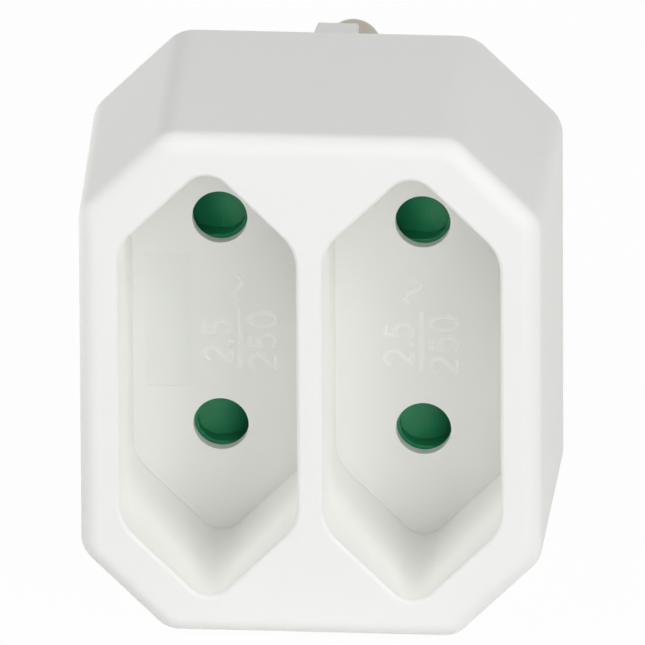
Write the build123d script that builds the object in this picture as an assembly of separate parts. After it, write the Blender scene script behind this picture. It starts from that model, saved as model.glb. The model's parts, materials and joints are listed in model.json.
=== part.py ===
from build123d import *
import os
from math import atan2, degrees, hypot, radians, sqrt, tan

# Two-way plug-in socket adapter: an octagonal head with two side-by-side sockets, and a plug on its back.
# Millimetres, +Z up. The sockets face -Y and the plug points along +Y.
# The origin is the centre of the plug's face, the one that meets the bottom of a wall socket.

# Socket recesses, each an upright six-sided well with pointed ends, the left one with a bare label field
pin_spacing = 19.0
recess_width = 15.0
recess_straight = 25.2
recess_end_angle = 45.0
recess_depth = 14.4
recess_draft = 0.2
recess_tip_radius = 2.2
recess_side_radius = 4.2
recess_mouth_radius = 0.35
recess_floor = 1.0
pin_hole_diameter = 4.7
label_width = 3.9
label_height = 12.2
label_depth = 0.12
label_offset = 4.4

# Head, the octagonal cover round both recesses
middle_wall = 2.2
side_wall = 3.35
end_wall = 2.65
head_cut = 7.2
head_draft = 1.2
head_corner_radius = 3.0
head_front_radius = 1.6
cover_wall = 1.8
cover_inner_radius = 1.2
well_overlap = 0.45

# Shutters, one turning plate behind each recess
shutter_thickness = 3.4
shutter_gap = 0.2
shutter_pad_overlap = 0.65
shutter_arm_width = 4.4
shutter_hub_diameter = 6.6
shutter_pocket_lip = 0.25
shutter_seat_depth = 0.5
shutter_ramp_height = 2.1
pivot_diameter = 3.0
pivot_play = 0.05

# Carrier, the moulded insert behind the shutters
carrier_thickness = 1.2
carrier_rim_height = 0.5
carrier_rim_wall = 1.4
carrier_hole_diameter = 5.2
carrier_leg_diameter = 2.4
carrier_leg_offset = 4.4
peg_diameter = 1.6
peg_height = 2.3
stop_peg_drop = 5.0
touch_gap = 0.05
fit_gap = 0.3

# Return springs, flat steel leaves hooked on a peg of the carrier
spring_thickness = 0.3
spring_width = 1.8
spring_peg_out = 4.5
spring_peg_up = 5.0
spring_tip_drop = 5.2
spring_tip_length = 1.2

# Back plate and plug body
plate_thickness = 1.6
plate_gap = 0.15
plug_length = 12.8
plug_wall = 1.5
plug_end_wall = 1.6
plug_edge_radius = 0.9
plug_fin_height = 1.9
plug_fin_width = 5.6
plug_fin_end_width = 3.5
plug_fin_end_gap = 0.5
plug_fin_radius = 0.3
earth_pin_offset = 10.0
earth_notch_radius = 2.6
earth_pocket_floor = 0.5

# Contacts, a brass strip for each pole with two pin sleeves
strip_width = 5.2
strip_thickness = 0.8
strip_room = 0.3
sleeve_bore = 4.0
sleeve_wall = 0.5
sleeve_slit = 0.7
sleeve_root = 2.0
sleeve_lead_in = 0.3
sleeve_gap = 0.2

# Plug pins
pin_diameter = 4.8
pin_length = 19.0
pin_tip_radius = 1.7
pin_collar_diameter = 5.4
pin_flange_diameter = 6.6
pin_flange_thickness = 1.6
rivet_diameter = 3.0
rivet_head_diameter = 5.0
rivet_head_thickness = 0.9

# Housing screws
screw_diameter = 2.6
screw_head_diameter = 3.8
screw_head_thickness = 1.4
screw_head_radius = 0.5
screw_cross_width = 0.7
screw_cross_length = 2.2
screw_cross_depth = 0.8
screw_tip_room = 0.4
post_wall = 0.85

# Sizes that follow from the ones above
socket_pitch = recess_width + middle_wall
head_width = socket_pitch + recess_width + 2 * side_wall
recess_height = recess_straight + recess_width * tan(radians(recess_end_angle))
head_height = recess_height + 2 * end_wall
well_wall = side_wall - cover_wall + well_overlap
shutter_space = shutter_thickness + 2 * shutter_gap
carrier_space = carrier_thickness + carrier_rim_height
head_depth = recess_depth + recess_floor + shutter_space + carrier_space + plate_thickness
contact_radius = hypot(socket_pitch / 2, pin_spacing / 2)
plug_inset = strip_width / 2 + strip_room + plug_wall
plug_width = socket_pitch + 2 * plug_inset
plug_radius = contact_radius + plug_inset
post_diameter = screw_diameter + 2 * (post_wall + touch_gap)
pad_radius = pin_hole_diameter / 2 + shutter_pad_overlap
stop_peg_x = shutter_arm_width / 2 + touch_gap + peg_diameter / 2

# Depths along Y, from the front face to the pin tips
front_y = -(head_depth + plug_length)
floor_y = front_y + recess_depth
floor_back_y = floor_y + recess_floor
shutter_front_y = floor_back_y + shutter_gap
shutter_back_y = shutter_front_y + shutter_thickness
carrier_front_y = shutter_back_y + shutter_gap
carrier_back_y = carrier_front_y + carrier_thickness
plate_front_y = carrier_back_y + carrier_rim_height
head_back_y = plate_front_y + plate_thickness
plug_inner_y = -plug_end_wall
flange_front_y = plug_inner_y - pin_flange_thickness
strip_front_y = flange_front_y - strip_thickness
sleeve_front_y = carrier_back_y + sleeve_gap

# Screws stand midway between the plug body and the edge of the back plate
plate_inset = cover_wall + plate_gap
plate_half_width = head_width / 2 + (plate_front_y - front_y) * tan(radians(head_draft)) - plate_inset
screw_x = (plug_width / 2 + plate_half_width) / 2

socket_xs = (-socket_pitch / 2, socket_pitch / 2)
pole_zs = (pin_spacing / 2, -pin_spacing / 2)
screw_xs = (-screw_x, screw_x)


def at_depth(y):
    return Plane.XZ.offset(-y)


def prism(outline, y_front, y_back):
    return extrude(at_depth(y_back) * outline, y_back - y_front)


def rod(diameter, x, z, y_front, y_back):
    return prism(Pos(x, z) * Circle(diameter / 2), y_front, y_back)


def mirrored(points):
    return points + [(-x, -z) for x, z in points]


def head_outline(y, inset, radius):
    # Octagon of the head at one depth, drawn in by inset. The head widens to the back by its draft.
    growth = (y - front_y) * tan(radians(head_draft)) - inset
    half_width = head_width / 2 + growth
    half_height = head_height / 2 + growth
    cut = head_cut + (2 - sqrt(2)) * growth
    corners = mirrored([
        (half_width, -half_height + cut),
        (half_width, half_height - cut),
        (half_width - cut, half_height),
        (-half_width + cut, half_height),
    ])
    outline = Polygon(*corners, align=None)
    return fillet(outline.vertices(), radius)


def recess_outline(growth):
    # Six-sided mouth of a recess with pointed ends, let out by growth
    half_width = recess_width / 2 + growth
    half_straight = recess_straight / 2 + growth * tan(radians(90 - recess_end_angle) / 2)
    tip = half_straight + half_width * tan(radians(recess_end_angle))
    corners = mirrored([(half_width, -half_straight), (half_width, half_straight), (0, tip)])
    outline = Polygon(*corners, align=None)
    side_corners = [v for v in outline.vertices() if abs(v.X) > half_width / 2]
    outline = fillet(side_corners, recess_side_radius + growth)
    tips = [v for v in outline.vertices() if abs(v.X) < touch_gap]
    return fillet(tips, recess_tip_radius + growth)


def plug_outline(inset):
    # Round plug body with flat flanks, and a notch on each side for an earth pin
    outline = Circle(plug_radius - inset) & Rectangle(plug_width - 2 * inset, 2 * plug_radius)
    notch_width = 2 * (earth_notch_radius + inset)
    for side in (-1, 1):
        outline -= Pos(side * earth_pin_offset) * Circle(notch_width / 2)
        outline -= Pos(side * (earth_pin_offset + plug_width / 2)) * Rectangle(plug_width, notch_width)
    return outline


def front_cover():
    outer = extrude(
        at_depth(head_back_y) * head_outline(head_back_y, 0, head_corner_radius), head_depth, taper=head_draft
    )
    outer = fillet(outer.faces().sort_by(Axis.Y)[0].edges(), head_front_radius)
    cavity = extrude(
        at_depth(head_back_y) * head_outline(head_back_y, cover_wall, cover_inner_radius),
        head_depth - cover_wall,
        taper=head_draft,
    )
    cover = outer - cavity
    for x in socket_xs:
        cover += prism(Pos(x) * recess_outline(well_wall), front_y + cover_wall / 2, floor_back_y)
    for x in screw_xs:
        side = 1 if x > 0 else -1
        reach = head_width / 2 - cover_wall / 2 - screw_x
        cover += rod(post_diameter, x, 0, floor_back_y - recess_floor / 2, plate_front_y)
        web = Pos(x + side * reach / 2) * Rectangle(reach, post_diameter)
        cover += prism(web, floor_back_y - recess_floor / 2, plate_front_y)
        cover -= rod(screw_diameter + 2 * touch_gap, x, 0, floor_back_y, plate_front_y)
    for x in socket_xs:
        mouth = at_depth(front_y) * Pos(x) * recess_outline(0)
        cover -= extrude(mouth, recess_depth, dir=(0, 1, 0), taper=recess_draft)
    front = cover.faces().sort_by(Axis.Y)[0]
    mouth_edges = [edge for wire in front.inner_wires() for edge in wire.edges()]
    cover = fillet(mouth_edges, recess_mouth_radius)
    for x in socket_xs:
        for z in pole_zs:
            cover -= rod(pin_hole_diameter, x, z, floor_y, floor_back_y)
    label = Pos(socket_xs[0] - label_offset) * Rectangle(label_width, label_height)
    cover -= prism(label, floor_y, floor_y + label_depth)
    return cover


def plug_fin():
    # Centring fin on top of the plug body, narrower towards the plug's face
    root, end = plug_fin_width / 2, plug_fin_end_width / 2
    end_y = -plug_fin_end_gap
    plan = Polygon((-root, head_back_y), (root, head_back_y), (end, end_y), (-end, end_y), align=None)
    fin = extrude(plan, plug_radius + plug_fin_height)
    rim = fin.faces().sort_by(Axis.Z)[-1].edges().sort_by(Axis.Y)[1:]
    return fillet(rim, plug_fin_radius)


def rear_housing():
    plate_outline = head_outline(plate_front_y, plate_inset, cover_inner_radius)
    housing = prism(plate_outline, plate_front_y, head_back_y)
    plug = prism(plug_outline(0), head_back_y, 0)
    plug = fillet(plug.faces().sort_by(Axis.Y)[-1].edges(), plug_edge_radius)
    housing += plug
    housing += plug_fin()
    housing += Rot(0, 180, 0) * plug_fin()
    housing -= prism(plug_outline(plug_wall), plate_front_y, plug_inner_y)
    for x in (-earth_pin_offset, earth_pin_offset):
        housing -= rod(2 * earth_notch_radius, x, 0, plate_front_y + earth_pocket_floor, head_back_y)
    for z in pole_zs:
        housing -= rod(pin_collar_diameter + 2 * touch_gap, 0, z, plug_inner_y, 0)
    for x in screw_xs:
        housing -= rod(screw_diameter + 2 * plate_gap, x, 0, plate_front_y, head_back_y)
    return housing


def shutter_carrier():
    outline = head_outline(carrier_front_y, cover_wall + fit_gap, cover_inner_radius)
    inside = head_outline(carrier_front_y, cover_wall + fit_gap + carrier_rim_wall, cover_inner_radius)
    post_room = post_diameter + 2 * fit_gap
    for x in screw_xs:
        side = 1 if x > 0 else -1
        bay = Circle(post_room / 2) + Pos(side * head_width / 2) * Rectangle(head_width, post_room)
        outline -= Pos(x) * bay
    carrier = prism(outline, carrier_front_y, carrier_back_y)
    carrier += prism(outline - inside, carrier_back_y, plate_front_y)
    for x in socket_xs:
        for z in pole_zs:
            carrier -= rod(carrier_hole_diameter, x, z, carrier_front_y, carrier_back_y)
        carrier += rod(pivot_diameter, x, 0, floor_back_y, carrier_front_y)
        for peg_x, peg_z in ((-spring_peg_out, spring_peg_up), (stop_peg_x, -stop_peg_drop)):
            carrier += rod(peg_diameter, x + peg_x, peg_z, carrier_front_y - peg_height, carrier_front_y)
    for x in (-carrier_leg_offset, carrier_leg_offset):
        for z in pole_zs:
            carrier += rod(carrier_leg_diameter, x, z, carrier_back_y, strip_front_y - touch_gap)
    return carrier


def shutter(x):
    # Hub, two arms and two round pads. Each pad has a pocket behind its pin hole, half round on one side
    # and open on the other, with a sloping floor that a plug's pin pushes aside. The two pins together
    # turn the plate clockwise, seen from the front.
    outline = Circle(shutter_hub_diameter / 2) + Rectangle(shutter_arm_width, pin_spacing)
    for z in pole_zs:
        outline += Pos(0, z) * Circle(pad_radius)
    plate = prism(outline, shutter_front_y, shutter_back_y)
    reach = pad_radius + fit_gap
    seat_y = shutter_front_y + shutter_seat_depth
    deep_y = seat_y + shutter_ramp_height
    slope = Polygon(
        (-reach, shutter_front_y), (reach, shutter_front_y), (reach, seat_y), (-reach, deep_y), align=None
    )
    seat_radius = pin_hole_diameter / 2 - shutter_pocket_lip
    pocket_outline = Circle(seat_radius) + Pos(-reach / 2) * Rectangle(reach, 2 * seat_radius)
    pocket = prism(Pos(0, pin_spacing / 2) * pocket_outline, shutter_front_y, deep_y)
    pocket &= Pos(0, 0, pin_spacing / 2 - reach) * extrude(slope, 2 * reach)
    plate -= pocket
    plate -= Rot(0, 180, 0) * pocket
    plate -= rod(pivot_diameter + 2 * pivot_play, 0, 0, shutter_front_y, shutter_back_y)
    return Pos(x) * plate


def shutter_spring(x):
    # Leaf with an eye round the carrier's peg and a straight leg, tangent to the eye,
    # whose bent toe presses on the shutter's lower arm
    eye_radius = peg_diameter / 2 + touch_gap
    eye = Circle(eye_radius + spring_thickness) - Circle(eye_radius)
    tip_x = -shutter_arm_width / 2 - touch_gap - spring_thickness / 2
    tip_z = -spring_tip_drop
    reach_x = -spring_peg_out - tip_x
    reach_z = spring_peg_up - tip_z
    tangent_radius = eye_radius + spring_thickness / 2
    leg_length = sqrt(reach_x**2 + reach_z**2 - tangent_radius**2)
    lean = degrees(atan2(reach_z, reach_x) + atan2(tangent_radius, leg_length))
    leg = Pos(tip_x, tip_z) * Rot(0, 0, lean) * Pos(leg_length / 2) * Rectangle(leg_length, spring_thickness)
    toe_outline = Rectangle(spring_thickness, spring_tip_length + spring_thickness)
    toe = Pos(tip_x, tip_z - spring_tip_length / 2) * toe_outline
    leaf = Pos(-spring_peg_out, spring_peg_up) * eye + leg + toe
    return Pos(x) * prism(leaf, carrier_front_y - touch_gap - spring_width, carrier_front_y - touch_gap)


def contact_strip(z):
    strip = prism(SlotCenterToCenter(socket_pitch, strip_width), strip_front_y, flange_front_y)
    slit_back_y = strip_front_y - sleeve_root
    for x in socket_xs:
        sleeve = rod(sleeve_bore + 2 * sleeve_wall, x, 0, sleeve_front_y, strip_front_y)
        strip += sleeve
        strip -= rod(sleeve_bore, x, 0, sleeve_front_y, flange_front_y)
        slit = Pos(x) * Rectangle(strip_width, sleeve_slit)
        strip -= prism(slit, sleeve_front_y, slit_back_y)
        lead_in = strip.edges().filter_by(GeomType.CIRCLE).group_by(Axis.Y)[0]
        inner = [edge for edge in lead_in if edge.radius < (sleeve_bore + sleeve_wall) / 2]
        strip = chamfer(inner, sleeve_lead_in)
    strip -= rod(rivet_diameter + 2 * touch_gap, 0, 0, strip_front_y, flange_front_y)
    return Pos(0, 0, z) * strip


def plug_pin(z):
    shank = rod(pin_diameter, 0, z, 0, pin_length)
    shank = fillet(shank.faces().sort_by(Axis.Y)[-1].edges(), pin_tip_radius)
    pin = shank + rod(pin_collar_diameter, 0, z, plug_inner_y, 0)
    pin += rod(pin_flange_diameter, 0, z, flange_front_y, plug_inner_y)
    pin += rod(rivet_diameter, 0, z, strip_front_y, flange_front_y)
    pin += rod(rivet_head_diameter, 0, z, strip_front_y - rivet_head_thickness, strip_front_y)
    return pin


def housing_screw(x):
    head_top_y = head_back_y + screw_head_thickness
    head = rod(screw_head_diameter, x, 0, head_back_y, head_top_y)
    head = fillet(head.faces().sort_by(Axis.Y)[-1].edges(), screw_head_radius)
    screw = head + rod(screw_diameter, x, 0, floor_back_y + screw_tip_room, head_back_y)
    for size in ((screw_cross_length, screw_cross_width), (screw_cross_width, screw_cross_length)):
        screw -= prism(Pos(x) * Rectangle(*size), head_top_y - screw_cross_depth, head_top_y)
    return screw


pieces = {
    "front_cover": front_cover(),
    "rear_housing": rear_housing(),
    "shutter_carrier": shutter_carrier(),
    "shutter_left": shutter(socket_xs[0]),
    "shutter_right": shutter(socket_xs[1]),
    "shutter_spring_left": shutter_spring(socket_xs[0]),
    "shutter_spring_right": shutter_spring(socket_xs[1]),
    "contact_strip_upper": contact_strip(pole_zs[0]),
    "contact_strip_lower": contact_strip(pole_zs[1]),
    "plug_pin_upper": plug_pin(pole_zs[0]),
    "plug_pin_lower": plug_pin(pole_zs[1]),
    "housing_screws": Compound(children=[housing_screw(x) for x in screw_xs]),
}

os.makedirs("parts", exist_ok=True)
for node, shape in pieces.items():
    export_step(shape, f"parts/{node}.step")

print("head width, depth and height", round(head_width, 2), round(head_depth, 2), round(head_height, 2))
print("front face at y", round(front_y, 2))
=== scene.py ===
import json
import math

import bmesh
import bpy
from mathutils import Matrix, Quaternion, Vector


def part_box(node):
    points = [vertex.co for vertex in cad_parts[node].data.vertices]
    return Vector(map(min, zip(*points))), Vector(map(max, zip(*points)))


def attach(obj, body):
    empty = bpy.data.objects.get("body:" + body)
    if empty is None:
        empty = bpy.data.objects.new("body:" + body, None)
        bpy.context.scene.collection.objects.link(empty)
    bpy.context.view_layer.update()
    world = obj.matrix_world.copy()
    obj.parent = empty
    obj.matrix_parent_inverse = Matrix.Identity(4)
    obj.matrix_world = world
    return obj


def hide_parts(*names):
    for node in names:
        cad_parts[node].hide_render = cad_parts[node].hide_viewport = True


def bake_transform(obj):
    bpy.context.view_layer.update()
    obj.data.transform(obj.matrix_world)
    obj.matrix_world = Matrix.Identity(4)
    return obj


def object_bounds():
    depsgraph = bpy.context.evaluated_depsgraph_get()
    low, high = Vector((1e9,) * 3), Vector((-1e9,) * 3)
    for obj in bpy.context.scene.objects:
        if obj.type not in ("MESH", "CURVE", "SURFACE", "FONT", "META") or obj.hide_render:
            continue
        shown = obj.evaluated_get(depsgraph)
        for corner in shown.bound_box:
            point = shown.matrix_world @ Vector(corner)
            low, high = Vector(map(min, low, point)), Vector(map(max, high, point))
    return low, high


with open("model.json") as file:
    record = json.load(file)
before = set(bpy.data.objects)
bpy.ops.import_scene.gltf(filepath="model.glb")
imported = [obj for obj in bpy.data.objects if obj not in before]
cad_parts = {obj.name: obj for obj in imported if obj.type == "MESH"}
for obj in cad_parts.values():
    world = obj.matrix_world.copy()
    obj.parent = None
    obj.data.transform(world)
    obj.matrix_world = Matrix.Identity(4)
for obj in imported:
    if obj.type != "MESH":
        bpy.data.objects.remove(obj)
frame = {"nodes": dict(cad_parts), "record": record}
cadLow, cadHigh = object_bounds()
cadNodes = frame["nodes"]
mounts = {mount["name"]: mount for mount in frame["record"]["mounts"]}
mm = 0.001
socketHole = mounts["right_socket_upper_hole"]
socketX = socketHole["pos_m"][0]  # middle of each socket, to the left and the right
floorY = socketHole["pos_m"][1] - socketHole["dims"]["length_mm"] * mm / 2  # front of the socket floors
headMiddle = (0, -25 * mm, 0)
print("frame loaded with", len(cadNodes), "nodes")


# one socket of a node tree: sums on it add Math nodes, node() adds any other node
class Wire:
    def __init__(self, tree, socket=None):
        self.tree = tree
        self.socket = socket

    def node(self, kind, settings, inputs, output=0):
        made = self.tree.nodes.new(kind)
        for key, value in settings.items():
            if key == "stops":
                ramp = made.color_ramp.elements
                while len(ramp) < len(value):
                    ramp.new(0.5)
                for stop, (position, shade) in zip(ramp, value):
                    stop.position = position
                    stop.color = (shade, shade, shade, 1)
            else:
                setattr(made, key, value)
        for key, value in inputs.items():
            if isinstance(value, Wire):
                self.tree.links.new(value.socket, made.inputs[key])
            else:
                made.inputs[key].default_value = value
        return Wire(self.tree, made.outputs[output] if made.outputs else None)

    def maths(self, operation, first, second=0.0):
        return self.node("ShaderNodeMath", {"operation": operation}, {0: first, 1: second})

    def __add__(self, other):
        return self.maths("ADD", self, other)

    def __radd__(self, other):
        return self.maths("ADD", other, self)

    def __sub__(self, other):
        return self.maths("SUBTRACT", self, other)

    def __rsub__(self, other):
        return self.maths("SUBTRACT", other, self)

    def __mul__(self, other):
        return self.maths("MULTIPLY", self, other)

    def __truediv__(self, other):
        return self.maths("DIVIDE", self, other)

    def __abs__(self):
        return self.maths("ABSOLUTE", self)


def startFinish(name, fixed):
    # a material with a Principled shader; fixed holds the values that are the same all over
    material = bpy.data.materials.new(name)
    material.use_nodes = True
    shader = material.node_tree.nodes["Principled BSDF"]
    for key, value in fixed.items():
        shader.inputs[key].default_value = value
    wire = Wire(material.node_tree)
    place = wire.node("ShaderNodeTexCoord", {}, {}, "Object")
    return material, wire, place, shader


def feed(shader, wire, links):
    for key, source in links.items():
        wire.tree.links.new(source.socket, shader.inputs[key])


def noise(wire, place, scale, detail, rough=0.5):
    return wire.node("ShaderNodeTexNoise", {}, {
        "Vector": place, "Scale": scale, "Detail": detail, "Roughness": rough,
    })


def stretched(wire, place, scale):
    return wire.node("ShaderNodeMapping", {}, {"Vector": place, "Scale": scale})


def split(wire, vector):
    return [wire.node("ShaderNodeSeparateXYZ", {}, {"Vector": vector}, axis) for axis in "XYZ"]


def eitherWay(value, spread):
    # a noise of 0 to 1 as a change up and down
    return (value - 0.5) * spread


def stops(wire, value, pairs):
    return wire.node("ShaderNodeValToRGB", {"stops": pairs}, {"Fac": value})


def blendColour(wire, factor, first, second):
    # 0, 6, 7 and 2 are the sockets of the Mix node that are for colours
    return wire.node("ShaderNodeMix", {"data_type": "RGBA"}, {0: factor, 6: first, 7: second}, 2)


def bump(wire, height, distance, strength, normal=None):
    inputs = {"Height": height, "Distance": distance, "Strength": strength}
    if normal is not None:
        inputs["Normal"] = normal
    return wire.node("ShaderNodeBump", {}, inputs)


plasticIor = 1.5

# white moulded plastic: warm white, fine spark-eroded skin, a little handling dust,
# with painted shade: a little greyer over the front face, and darker on the socket floors at the bottom of
# the recesses
whitePlastic = dict(
    tone=(0.968, 0.972, 0.945, 1), warmTone=(0.961, 0.964, 0.932, 1),
    toneScale=70, toneRamp=((0.35, 0), (0.7, 1)),
    # painted shade: the front face a little greyer
    wornTone=(0.884, 0.886, 0.872, 1), wornBand=0.9 * mm, wornFade=0.8 * mm,
    # painted shade: the socket floors darker, as at the bottom of the recesses
    dullTone=(0.915, 0.922, 0.888, 1), dullShare=1, dullAhead=0.6 * mm, dullBand=1.6 * mm,
    dullRamp=((0, 0), (0.25, 1), (0.7, 1), (1, 0)),
    floorReach=20.9 * mm, floorSlim=2.6, floorRamp=((0.97, 1), (1, 0)),
    dustTone=(0.70, 0.69, 0.65, 1), dustScale=520, dustRamp=((0.03, 1), (0.075, 0)), dustShare=0.45,
    dustRoughness=0.2, patchScale=130, patchRamp=((0.62, 0), (0.68, 1)),
    skinScale=6500, skinDepth=0.012 * mm, skinStrength=0.5,
    waveScale=260, waveDepth=0.05 * mm, waveStrength=0.35,
    roughness=0.58, roughnessSpread=0.1,
)


def paintedFrontShadeShare(wire, depth, look):
    # share of the painted front shade: 1 on the front face, 0 behind its rounded edge
    ahead = cadLow.y + look["wornBand"] - depth
    return stops(wire, ahead / look["wornFade"], ((0, 0), (1, 1)))


def floorShare(wire, across, depth, up, look):
    # share of the painted floor shade: 1 on the two six-sided socket floors, 0 elsewhere at that depth
    level = (depth - (floorY - look["dullAhead"])) / look["dullBand"]
    side = abs(abs(across) - socketX)
    reach = wire.maths("MAXIMUM", side * look["floorSlim"], side + abs(up)) / look["floorReach"]
    return stops(wire, level, look["dullRamp"]) * stops(wire, reach, look["floorRamp"])


def makeWhitePlastic(name, **changes):
    look = {**whitePlastic, **changes}
    material, wire, place, shader = startFinish(name, {"IOR": plasticIor})
    tone = stops(wire, noise(wire, place, look["toneScale"], detail=4), look["toneRamp"])
    skin = noise(wire, place, look["skinScale"], detail=2)
    wave = noise(wire, place, look["waveScale"], detail=2)
    cells = wire.node("ShaderNodeTexVoronoi", {}, {"Vector": place, "Scale": look["dustScale"]}, "Distance")
    patch = stops(wire, noise(wire, place, look["patchScale"], detail=2), look["patchRamp"])
    dust = stops(wire, cells, look["dustRamp"]) * patch
    across, depth, up = split(wire, place)
    floorShade = floorShare(wire, across, depth, up, look) * look["dullShare"]
    colour = blendColour(wire, tone, look["tone"], look["warmTone"])
    # painted shade: greyer over the front face
    colour = blendColour(wire, paintedFrontShadeShare(wire, depth, look), colour, look["wornTone"])
    # painted shade: darker on the socket floors at the bottom of the recesses
    colour = blendColour(wire, floorShade, colour, look["dullTone"])
    colour = blendColour(wire, dust * look["dustShare"], colour, look["dustTone"])
    roughness = look["roughness"] + eitherWay(wave, look["roughnessSpread"]) + dust * look["dustRoughness"]
    normal = bump(wire, wave, look["waveDepth"], look["waveStrength"])
    normal = bump(wire, skin, look["skinDepth"], look["skinStrength"], normal)
    feed(shader, wire, {"Base Color": colour, "Roughness": roughness, "Normal": normal})
    return material


# natural unpainted plastic of the hidden insert
carrierPlastic = dict(
    tone=(0.74, 0.74, 0.70, 1), darkTone=(0.66, 0.65, 0.60, 1), toneScale=120,
    skinScale=4200, skinDepth=0.02 * mm, skinStrength=0.5, roughness=0.5, roughnessSpread=0.2,
)


def makeCarrierPlastic():
    look = carrierPlastic
    material, wire, place, shader = startFinish("natural_insert_plastic", {"IOR": plasticIor})
    tone = noise(wire, place, look["toneScale"], detail=4)
    skin = noise(wire, place, look["skinScale"], detail=2)
    feed(shader, wire, {
        "Base Color": blendColour(wire, tone, look["tone"], look["darkTone"]),
        "Roughness": look["roughness"] + eitherWay(skin, look["roughnessSpread"]),
        "Normal": bump(wire, skin, look["skinDepth"], look["skinStrength"]),
    })
    return material


# green shutter plastic, rubbed a little lighter along the way the pins push it
greenPlastic = dict(
    tone=(0.018, 0.305, 0.130, 1), deepTone=(0.014, 0.240, 0.100, 1),
    toneScale=240, toneRamp=((0.3, 0), (0.7, 1)),
    rubTone=(0.06, 0.38, 0.20, 1), rubScale=(5200, 900, 420), rubRamp=((0.58, 0), (0.8, 1)), rubShare=0.3,
    rubPolish=0.08, skinScale=5200, skinDepth=0.015 * mm, skinStrength=0.5,
    roughness=0.42, roughnessSpread=0.16,
)


def makeGreenPlastic():
    look = greenPlastic
    material, wire, place, shader = startFinish("green_shutter_plastic", {"IOR": plasticIor})
    tone = stops(wire, noise(wire, place, look["toneScale"], detail=3), look["toneRamp"])
    rub = noise(wire, stretched(wire, place, look["rubScale"]), scale=1, detail=3)
    rub = stops(wire, rub, look["rubRamp"])
    skin = noise(wire, place, look["skinScale"], detail=2)
    colour = blendColour(wire, tone, look["tone"], look["deepTone"])
    feed(shader, wire, {
        "Base Color": blendColour(wire, rub * look["rubShare"], colour, look["rubTone"]),
        "Roughness": look["roughness"] + eitherWay(skin, look["roughnessSpread"]) - rub * look["rubPolish"],
        "Normal": bump(wire, skin, look["skinDepth"], look["skinStrength"]),
    })
    return material


# metals: drawn or rolled lines run along one axis, with a blotchy film over them
metalSkin = dict(
    filmDetail=5, filmRough=0.6, filmRamp=((0.42, 0), (0.7, 1)), filmRoughness=0.12, lineStrength=0.6,
)
metals = {
    "pin_nickel": dict(
        name="nickel_plated_pin", tone=(0.37, 0.34, 0.27, 1), film=(0.33, 0.30, 0.23, 1),
        lines=(9000, 220, 9000), filmScale=420, filmShare=0.5, roughness=0.24, spread=0.2, depth=0.006 * mm,
    ),
    "contact_brass": dict(
        name="rolled_brass", tone=(0.80, 0.60, 0.27, 1), film=(0.56, 0.38, 0.16, 1),
        lines=(300, 7000, 7000), filmScale=300, filmShare=0.55, roughness=0.28, spread=0.22, depth=0.008 * mm,
    ),
    "spring_steel": dict(
        name="tempered_spring_steel", tone=(0.52, 0.53, 0.55, 1), film=(0.36, 0.36, 0.38, 1),
        lines=(8000, 8000, 260), filmScale=600, filmShare=0.4, roughness=0.3, spread=0.18, depth=0.005 * mm,
    ),
    "screw_zinc": dict(
        name="zinc_plated_screw", tone=(0.66, 0.68, 0.70, 1), film=(0.50, 0.51, 0.50, 1),
        lines=(5200, 5200, 5200), filmScale=900, filmShare=0.5, roughness=0.34, spread=0.2, depth=0.008 * mm,
    ),
}


def makeMetal(changes):
    look = {**metalSkin, **changes}
    material, wire, place, shader = startFinish(look["name"], {"Metallic": 1})
    lines = noise(wire, stretched(wire, place, look["lines"]), scale=1, detail=3)
    blotches = noise(wire, place, look["filmScale"], look["filmDetail"], look["filmRough"])
    film = stops(wire, blotches, look["filmRamp"])
    feed(shader, wire, {
        "Base Color": blendColour(wire, film * look["filmShare"], look["tone"], look["film"]),
        "Roughness": look["roughness"] + eitherWay(lines, look["spread"]) + film * look["filmRoughness"],
        "Normal": bump(wire, lines, look["depth"], look["lineStrength"]),
    })
    return material


finishes = {
    "white_plastic": makeWhitePlastic("white_moulded_plastic"),
    "carrier_plastic": makeCarrierPlastic(),
    "green_plastic": makeGreenPlastic(),
}
for slot, look in metals.items():
    finishes[slot] = makeMetal(look)
for subpart in frame["record"]["subparts"]:
    for place in cadNodes[subpart["node"]].material_slots:
        place.material = finishes[subpart["material_slot"]]
print("finishes put on", len(cadNodes), "nodes")


def addObject(name, data):
    made = bpy.data.objects.new(name, data)
    bpy.context.collection.objects.link(made)
    return made


def keep(piece):
    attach(piece, "housing")


# rating figures, raised strokes on each socket floor that read upwards
figures = dict(
    height=2.25 * mm, strokeWidth=0.5 * mm, rise=0.1 * mm, sink=0.004 * mm, step=0.06 * mm, endShare=0.55,
    ringPoints=24, crownPower=4, leastRadius=0.02,
    rowStarts={"250": -2.78 * mm, "2.5": -2.2 * mm}, letterStep=0.86, beforeDot=0.84, dotStep=0.27,
    barLength=5.6 * mm, lineGap=0.8 * mm,
    tildeLength=2.5 * mm, tildeStart=3.3 * mm, tildeSteps=24, tildeEndSwing=0.55,
    # a little whiter than the white plastic and without the painted floor shade, so the strokes stand lighter
    # than the floor
    tone=(0.990, 0.995, 0.972, 1), warmTone=(0.985, 0.990, 0.962, 1), dullShare=0,
    sockets={
        "left": dict(barX=-6.92 * mm, midZ=-1.56 * mm, tildeRise=0.8 * mm, tildeLift=0.14 * mm),
        "right": dict(barX=8.46 * mm, midZ=-1.49 * mm, tildeRise=1.5 * mm, tildeLift=0.8 * mm),
    },
)
figureFinish = makeWhitePlastic(
    "white_figure_plastic",
    tone=figures["tone"], warmTone=figures["warmTone"], dullShare=figures["dullShare"],
)


def arc(centre, radii, start, stop, count=18):
    points = []
    for index in range(count + 1):
        angle = math.radians(start + (stop - start) * index / count)
        points.append((centre[0] + radii[0] * math.cos(angle), centre[1] + radii[1] * math.sin(angle)))
    return points


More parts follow.
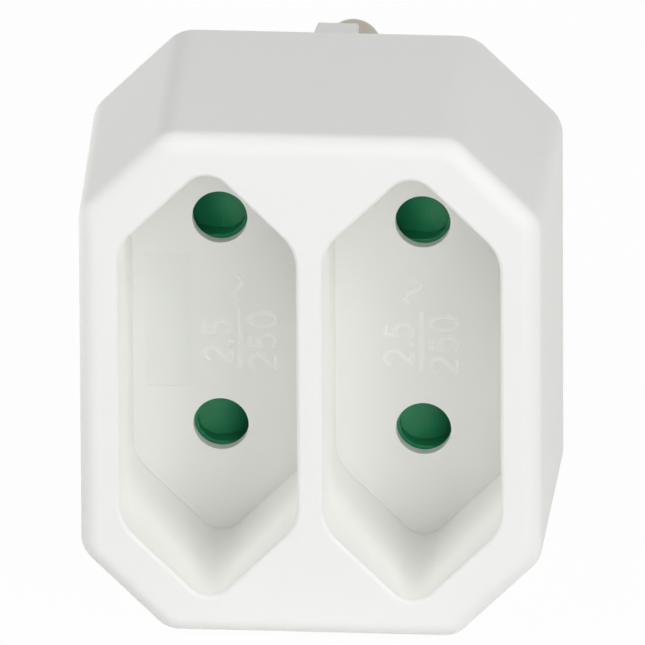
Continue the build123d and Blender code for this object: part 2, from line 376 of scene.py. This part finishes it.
# each figure on a height of 1, as (points, closed)
glyphs = {
    "2": (arc((0.29, 0.71), (0.28, 0.29), 165, -32) + [(0.02, 0.0), (0.58, 0.0)], False),
    "5": ([(0.53, 1.0), (0.11, 1.0), (0.06, 0.54)] + arc((0.27, 0.32), (0.30, 0.32), 132, -148), False),
    "0": (arc((0.29, 0.5), (0.27, 0.5), 0, 345, 23), True),
    ".": ([(-0.08, 0.0), (0.08, 0.0)], False),
}


def strokeTree():
    # follows each line with a softly raised stroke, its ends round and its underside flat
    tree = bpy.data.node_groups.new("raisedStroke", "GeometryNodeTree")
    face = tree.interface
    face.new_socket("Geometry", in_out="INPUT", socket_type="NodeSocketGeometry")
    for name in ("Stroke Width", "Rise", "Sink", "Step", "End Share"):
        face.new_socket(name, in_out="INPUT", socket_type="NodeSocketFloat")
    face.new_socket("Finish", in_out="INPUT", socket_type="NodeSocketMaterial")
    face.new_socket("Geometry", in_out="OUTPUT", socket_type="NodeSocketGeometry")
    given = {socket.name: Wire(tree, socket) for socket in tree.nodes.new("NodeGroupInput").outputs}
    wire = Wire(tree)
    half = given["Stroke Width"] * 0.5
    line = wire.node("GeometryNodeResampleCurve", {"mode": "LENGTH"}, {
        "Curve": given["Geometry"], "Length": given["Step"],
    })
    # the radius falls to nothing at the ends of an open line
    along = wire.node("GeometryNodeSplineParameter", {}, {}, "Length")
    whole = wire.node("GeometryNodeSplineLength", {}, {}, "Length")
    fromEnd = wire.maths("MINIMUM", along, whole - along)
    share = wire.maths("MINIMUM", fromEnd / (half * given["End Share"]), 1.0)
    roundEnd = wire.maths("SQRT", share * (2.0 - share))
    closed = wire.node("GeometryNodeInputSplineCyclic", {}, {})
    radius = wire.maths("MAXIMUM", wire.maths("MAXIMUM", roundEnd, closed), figures["leastRadius"])
    line = wire.node("GeometryNodeSetCurveRadius", {}, {"Curve": line, "Radius": radius})
    ring = wire.node("GeometryNodeCurvePrimitiveCircle", {}, {
        "Resolution": figures["ringPoints"], "Radius": half,
    })
    solid = wire.node("GeometryNodeCurveToMesh", {}, {
        "Curve": line, "Profile Curve": ring, "Fill Caps": True,
    })
    # the round section is pressed to a low crown over a flat underside
    x, y, z = split(wire, wire.node("GeometryNodeInputPosition", {}, {}))
    crown = wire.maths("POWER", wire.maths("MAXIMUM", z, 0.0) / half, figures["crownPower"])
    under = wire.maths("LESS_THAN", z, 0.0) * given["Sink"]
    lift = crown * given["Rise"] - given["Sink"] - under
    spot = wire.node("ShaderNodeCombineXYZ", {}, {"X": x, "Y": y, "Z": lift})
    solid = wire.node("GeometryNodeSetPosition", {}, {"Geometry": solid, "Position": spot})
    solid = wire.node("GeometryNodeRealizeInstances", {}, {"Geometry": solid})
    solid = wire.node("GeometryNodeSetMaterial", {}, {"Geometry": solid, "Material": given["Finish"]})
    wire.node("NodeGroupOutput", {}, {"Geometry": solid})
    return tree


def stepAfter(text, index):
    # from one figure to the next, in shares of the height
    if text[index] == ".":
        return figures["dotStep"]
    return figures["beforeDot"] if text[index + 1:index + 2] == "." else figures["letterStep"]


def figureLines(socket):
    # all strokes of one socket's figures, flat, with the bar's middle at the origin
    height = figures["height"]
    lines = []
    rows = {"250": -figures["lineGap"] - height, "2.5": figures["lineGap"]}
    for text, base in rows.items():
        start = figures["rowStarts"][text]
        for index, letter in enumerate(text):
            points, closed = glyphs[letter]
            lines.append(([(start + x * height, base + y * height) for x, y in points], closed))
            start += height * stepAfter(text, index)
    bar = figures["barLength"] / 2
    lines.append(([(-bar, 0), (bar, 0)], False))
    wave = []
    ends = figures["tildeEndSwing"]
    for index in range(figures["tildeSteps"] + 1):
        share = index / figures["tildeSteps"]
        swing = math.sin(2 * math.pi * share) * (ends + (1 - ends) * math.sin(math.pi * share))
        wave.append((
            figures["tildeStart"] + share * figures["tildeLength"],
            socket["tildeLift"] + swing * socket["tildeRise"] / 2,
        ))
    lines.append((wave, False))
    return lines


def makeFigures(side, socket, tree):
    curve = bpy.data.curves.new("figure_lines_" + side, "CURVE")
    curve.dimensions = "3D"
    for points, closed in figureLines(socket):
        spline = curve.splines.new("POLY")
        spline.points.add(len(points) - 1)
        for point, (x, y) in zip(spline.points, points):
            point.co = (x, y, 0, 1)
        spline.use_cyclic_u = closed
    drawn = addObject("figure_lines_" + side, curve)
    modifier = drawn.modifiers.new("strokes", "NODES")
    modifier.node_group = tree
    values = {
        "Stroke Width": figures["strokeWidth"], "Rise": figures["rise"], "Sink": figures["sink"],
        "Step": figures["step"], "End Share": figures["endShare"], "Finish": figureFinish,
    }
    for item in tree.interface.items_tree:
        if item.in_out == "INPUT" and item.name in values:
            modifier[item.identifier] = values[item.name]
    mesh = bpy.data.meshes.new_from_object(drawn.evaluated_get(bpy.context.evaluated_depsgraph_get()))
    drawn.modifiers.clear()
    bpy.data.objects.remove(drawn)
    # reading direction up the socket, rise towards the front
    stand = Matrix(((0, -1, 0, socket["barX"]), (0, 0, -1, floorY), (1, 0, 0, socket["midZ"]), (0, 0, 0, 1)))
    mesh.transform(stand)
    mesh.name = "rating_figures_" + side
    for face in mesh.polygons:
        face.use_smooth = True
    piece = addObject("rating_figures_" + side, mesh)
    keep(piece)
    return piece


figureTree = strokeTree()
for side, socket in figures["sockets"].items():
    made = makeFigures(side, socket, figureTree)
    print("figures", side, "have", len(made.data.polygons), "faces")


# bare label field in the left socket's floor, smoother than the skin round it, with the painted floor shade
# on it a little darker and cooler
label = dict(
    middleX=-13 * mm, width=3.92 * mm, height=12.22 * mm,
    depth=0.12 * mm, thickness=0.08 * mm, sink=0.02 * mm,
    # painted shade on the label, a little darker and cooler than on the floor round it
    dullTone=(0.896, 0.905, 0.879, 1), roughness=0.45, skinDepth=0.006 * mm,
)


def makeLabel():
    look = label
    front = floorY + look["depth"] - look["thickness"]
    back = floorY + look["depth"] + look["sink"]
    build = bmesh.new()
    bmesh.ops.create_cube(build, size=1)
    for vert in build.verts:
        vert.co.x = look["middleX"] + vert.co.x * look["width"]
        vert.co.y = back if vert.co.y > 0 else front
        vert.co.z = vert.co.z * look["height"]
    bmesh.ops.recalc_face_normals(build, faces=build.faces)
    mesh = bpy.data.meshes.new("label_field")
    build.to_mesh(mesh)
    build.free()
    mesh.materials.append(makeWhitePlastic(
        "smooth_label_plastic",
        dullTone=look["dullTone"], roughness=look["roughness"], skinDepth=look["skinDepth"],
    ))
    piece = addObject("label_field", mesh)
    keep(piece)
    return piece


print("label field has", len(makeLabel().data.polygons), "faces")


# leaf springs, whose eye stays on its peg while the toe goes with the shutter's lower arm; here they are only
# cut into level bands, so that the long flat faces can bend
spring = dict(cuts=36, stillAbove=2.6 * mm, followsBelow=-4.2 * mm, mergeDistance=0.0005 * mm)


def makeSpring(side):
    look = spring
    nodeName = "shutter_spring_" + side
    low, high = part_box(nodeName)
    build = bmesh.new()
    build.from_mesh(cadNodes[nodeName].data)
    bmesh.ops.remove_doubles(build, verts=build.verts, dist=look["mergeDistance"])
    # level cuts, so that the long flat faces can bend
    for index in range(1, look["cuts"]):
        level = low.z + (high.z - low.z) * index / look["cuts"]
        bmesh.ops.bisect_plane(
            build, geom=build.verts[:] + build.edges[:] + build.faces[:], dist=look["mergeDistance"],
            plane_co=(0, 0, level), plane_no=(0, 0, 1),
        )
    mesh = bpy.data.meshes.new("leaf_spring_" + side)
    build.to_mesh(mesh)
    build.free()
    mesh.materials.clear()
    mesh.materials.append(finishes["spring_steel"])
    piece = addObject("leaf_spring_" + side, mesh)
    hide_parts(nodeName)
    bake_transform(piece)
    return piece


for side in figures["sockets"]:
    print("leaf spring", side, "has", len(makeSpring(side).data.polygons), "faces")


# pale floor under the head, white to the camera apart from the shadow
stage = dict(size=1.6, drop=0.02 * mm, tone=(0.9, 0.9, 0.89, 1), whiteShare=0.97)


def seesBackdrop(wire):
    camera, glossy, through = (
        wire.node("ShaderNodeLightPath", {}, {}, name)
        for name in ("Is Camera Ray", "Is Glossy Ray", "Is Transmission Ray")
    )
    return wire.maths("MAXIMUM", wire.maths("MAXIMUM", camera, glossy), through)


def makeStage():
    half = stage["size"] / 2
    low = cadLow.z - stage["drop"]
    mesh = bpy.data.meshes.new("floor")
    corners = [(-half, -half, low), (half, -half, low), (half, half, low), (-half, half, low)]
    mesh.from_pydata(corners, [], [(0, 1, 2, 3)])
    material = bpy.data.materials.new("pale_floor")
    material.use_nodes = True
    wire = Wire(material.node_tree)
    material.node_tree.nodes.clear()
    matt = wire.node("ShaderNodeBsdfDiffuse", {}, {"Color": stage["tone"]})
    white = wire.node("ShaderNodeEmission", {}, {"Color": (1, 1, 1, 1), "Strength": 1})
    share = seesBackdrop(wire) * stage["whiteShare"]
    mixed = wire.node("ShaderNodeMixShader", {}, {0: share, 1: matt, 2: white})
    wire.node("ShaderNodeOutputMaterial", {}, {"Surface": mixed})
    mesh.materials.append(material)
    floor = addObject("floor", mesh)


def makeWorld(ambient):
    world = bpy.data.worlds.new("studio")
    bpy.context.scene.world = world
    world.use_nodes = True
    wire = Wire(world.node_tree)
    world.node_tree.nodes.clear()
    strength = ambient + seesBackdrop(wire) * (1 - ambient)
    sky = wire.node("ShaderNodeBackground", {}, {"Color": (1, 1, 1, 1), "Strength": strength})
    wire.node("ShaderNodeOutputWorld", {}, {"Surface": sky})


# soft lamps round the head, aimed at its middle, and a white card on the floor that throws light up
lamps = dict(
    ambient=0.12,
    each={
        "front_lamp": dict(power=2.7, size=0.65, distance=1.1, azimuth=16, elevation=12),
        "right_lamp": dict(power=5.4, size=0.55, distance=1.1, azimuth=50, elevation=27),
        "left_lamp": dict(power=4.5, size=0.55, distance=1.1, azimuth=-50, elevation=35),
        "back_lamp": dict(power=0.3, size=0.4, distance=0.6, azimuth=180, elevation=55),
    },
    card=dict(power=0.35, size=0.18, place=(-0.2, 0.06), lift=1 * mm),
)


def towards(azimuth, elevation):
    turn, rise = math.radians(azimuth), math.radians(elevation)
    return Vector((math.sin(turn) * math.cos(rise), -math.cos(turn) * math.cos(rise), math.sin(rise)))


def addLamp(name, look, spot, away):
    light = bpy.data.lights.new(name, "AREA")
    light.energy = look["power"]
    light.size = look["size"]
    lamp = addObject(name, light)
    lamp.location = spot
    lamp.rotation_euler = away.to_track_quat("Z", "Y").to_euler()
    lamp.visible_camera = False


def makeLamps():
    makeWorld(lamps["ambient"])
    for name, look in lamps["each"].items():
        away = towards(look["azimuth"], look["elevation"])
        addLamp(name, look, Vector(headMiddle) + away * look["distance"], away)
    card = lamps["card"]
    addLamp("left_card", card, Vector((*card["place"], cadLow.z + card["lift"])), Vector((0, 0, -1)))


# long lens at the photograph's angle; right and up move the aim from the head's middle to the picture's
view = dict(
    azimuth=4.264, elevation=23.106, roll=-0.305, distance=2.49, widthAtAim=54.476 * mm,
    right=0.366 * mm, up=1.638 * mm, clipStart=0.1, clipEnd=10,
)


def makeCamera():
    data = bpy.data.cameras.new("camera")
    camera = addObject("camera", data)
    away = towards(view["azimuth"], view["elevation"])
    turn = away.to_track_quat("Z", "Y")
    aim = Vector(headMiddle) + turn @ Vector((view["right"], view["up"], 0))
    camera.location = aim + away * view["distance"]
    camera.rotation_euler = (turn @ Quaternion((0, 0, 1), math.radians(view["roll"]))).to_euler()
    data.lens = data.sensor_width * view["distance"] / view["widthAtAim"]
    data.clip_start = view["clipStart"]
    data.clip_end = view["clipEnd"]
    bpy.context.scene.camera = camera
    bpy.context.scene.view_settings.view_transform = "Standard"


makeStage()
makeLamps()
makeCamera()
print("floor, lamps and camera are in place")
